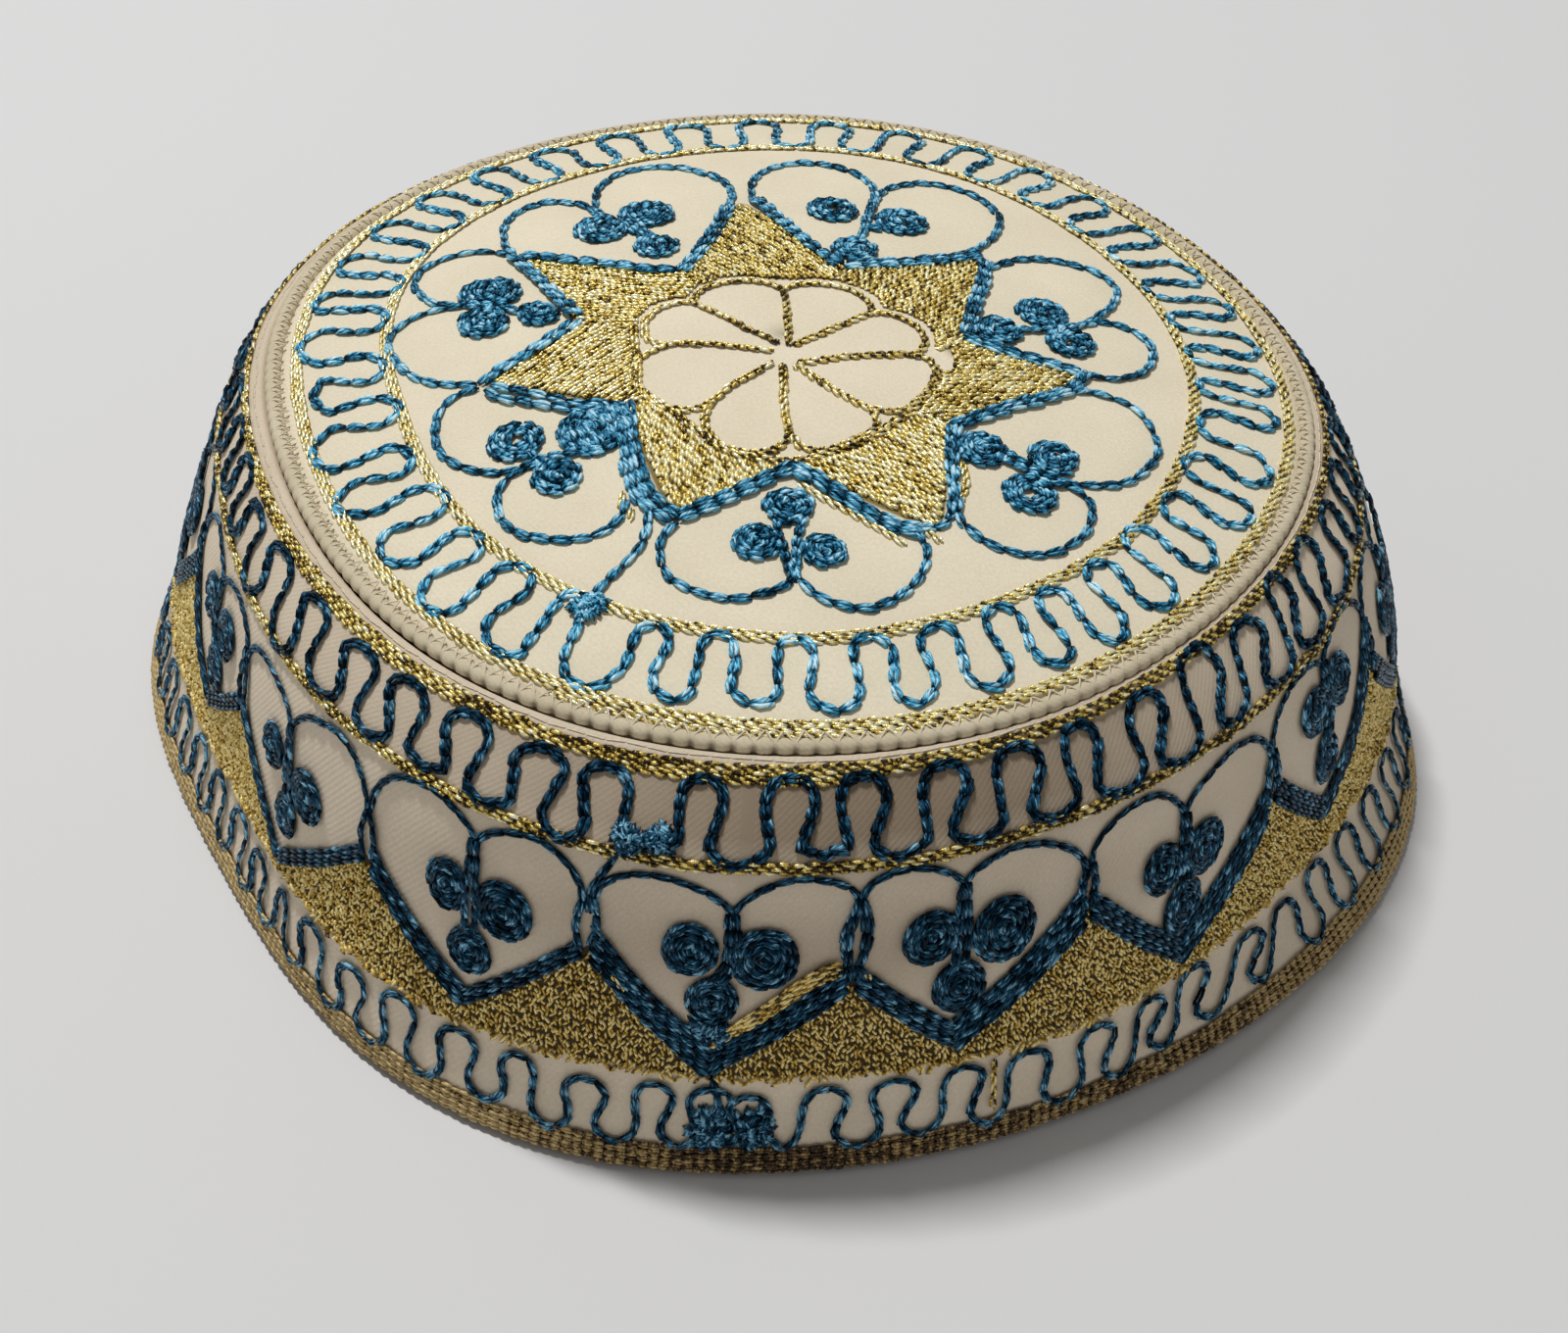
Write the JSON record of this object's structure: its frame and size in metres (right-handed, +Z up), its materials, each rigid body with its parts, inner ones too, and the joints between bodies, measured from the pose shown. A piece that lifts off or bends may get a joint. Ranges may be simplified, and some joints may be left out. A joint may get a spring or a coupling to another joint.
{
  "type": "kufi",
  "caption": "Round brimless cloth cap with a flat domed crown, corded seam, tall embroidered side band and bound rim, open underneath.",
  "frame": {"origin": "middle of the rim's box, on the plane that the rim stands on", "axes": "+Z up through the crown, -Y the front as worn and pictured, +X to the right of the picture"},
  "size_m": [0.1948, 0.1924, 0.067],
  "materials": {
    "crown_cotton": "cream cotton sateen, embroidered in teal and gold",
    "piping_cotton": "cream cotton cord, overcast",
    "band_cotton": "cream cotton sateen, embroidered in teal and gold",
    "rim_gold_thread": "gold metallised thread over cotton"
  },
  "bodies": {
    "root": {"crown_panel": "crown_cotton", "seam_piping": "piping_cotton", "side_band": "band_cotton", "rim_binding": "rim_gold_thread"}
  },
  "joints": []
}
